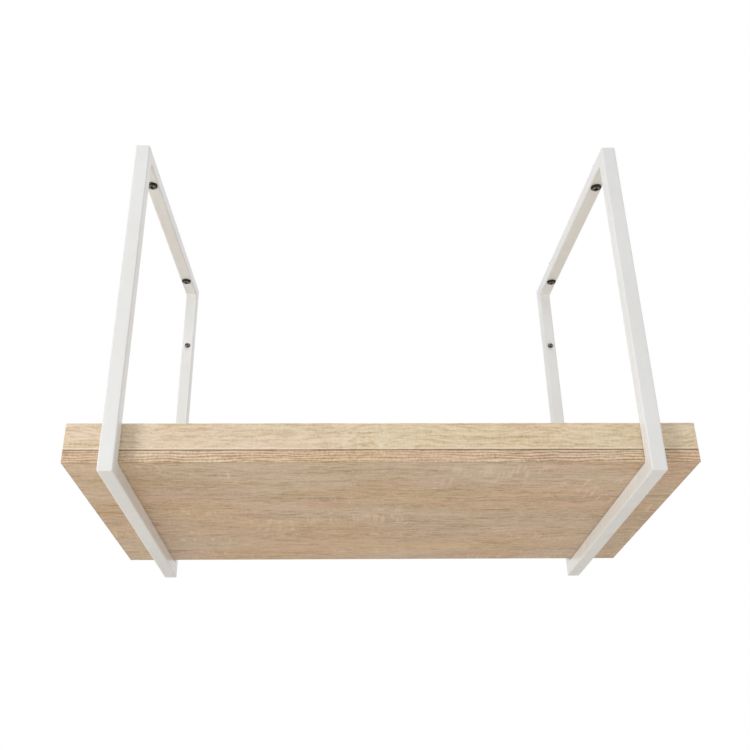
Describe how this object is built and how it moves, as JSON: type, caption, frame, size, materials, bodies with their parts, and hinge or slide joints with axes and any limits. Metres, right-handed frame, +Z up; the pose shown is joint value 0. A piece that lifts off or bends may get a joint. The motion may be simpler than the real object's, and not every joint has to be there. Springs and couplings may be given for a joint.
{
  "type": "wall mounted cat shelf",
  "caption": "Cat perch: a stacked oak-decor shelf lying in closed white frames of square steel tube, screwed to the wall and to what is above.",
  "frame": {"origin": "on the wall plane, midway between the two frames and level with the top of the shelf", "axes": "+X to the right as seen from the room, +Y into the wall, +Z up"},
  "size_m": [0.6, 0.3559, 0.4368],
  "materials": {
    "oak_decor": "melamine-faced particle board, light oak decor, satin",
    "oak_band": "edge banding in light oak decor, satin",
    "white_powder_coat": "white powder coat, semi-gloss, with a fine orange peel",
    "black_steel": "black-burnished steel",
    "zinc_steel": "bright zinc plate",
    "beech": "raw fluted beech"
  },
  "bodies": {
    "root": {"upper_board": "oak_decor", "upper_band_front": "oak_band", "upper_band_rear": "oak_band", "upper_band_left": "oak_band", "upper_band_right": "oak_band", "lower_board": "oak_decor", "lower_band_front": "oak_band", "lower_band_rear": "oak_band", "lower_band_left": "oak_band", "lower_band_right": "oak_band", "board_dowel_1": "beech", "board_dowel_2": "beech", "board_dowel_3": "beech", "board_dowel_4": "beech", "board_dowel_5": "beech", "board_dowel_6": "beech", "left_front_leg": "white_powder_coat", "left_bottom_rail": "white_powder_coat", "left_rear_leg": "white_powder_coat", "left_top_rail": "white_powder_coat", "left_weld_front_low": "white_powder_coat", "left_weld_rear_low": "white_powder_coat", "left_weld_rear_top": "white_powder_coat", "left_weld_front_top": "white_powder_coat", "left_ceiling_screw_front": "black_steel", "left_ceiling_screw_rear": "black_steel", "left_wall_screw_upper": "black_steel", "left_wall_screw_lower": "black_steel", "left_shelf_screw_front": "zinc_steel", "left_shelf_screw_rear": "zinc_steel", "left_rivet_nut_front": "zinc_steel", "left_rivet_nut_rear": "zinc_steel", "right_front_leg": "white_powder_coat", "right_bottom_rail": "white_powder_coat", "right_rear_leg": "white_powder_coat", "right_top_rail": "white_powder_coat", "right_weld_front_low": "white_powder_coat", "right_weld_rear_low": "white_powder_coat", "right_weld_rear_top": "white_powder_coat", "right_weld_front_top": "white_powder_coat", "right_ceiling_screw_front": "black_steel", "right_ceiling_screw_rear": "black_steel", "right_wall_screw_upper": "black_steel", "right_wall_screw_lower": "black_steel", "right_shelf_screw_front": "zinc_steel", "right_shelf_screw_rear": "zinc_steel", "right_rivet_nut_front": "zinc_steel", "right_rivet_nut_rear": "zinc_steel"}
  },
  "joints": []
}
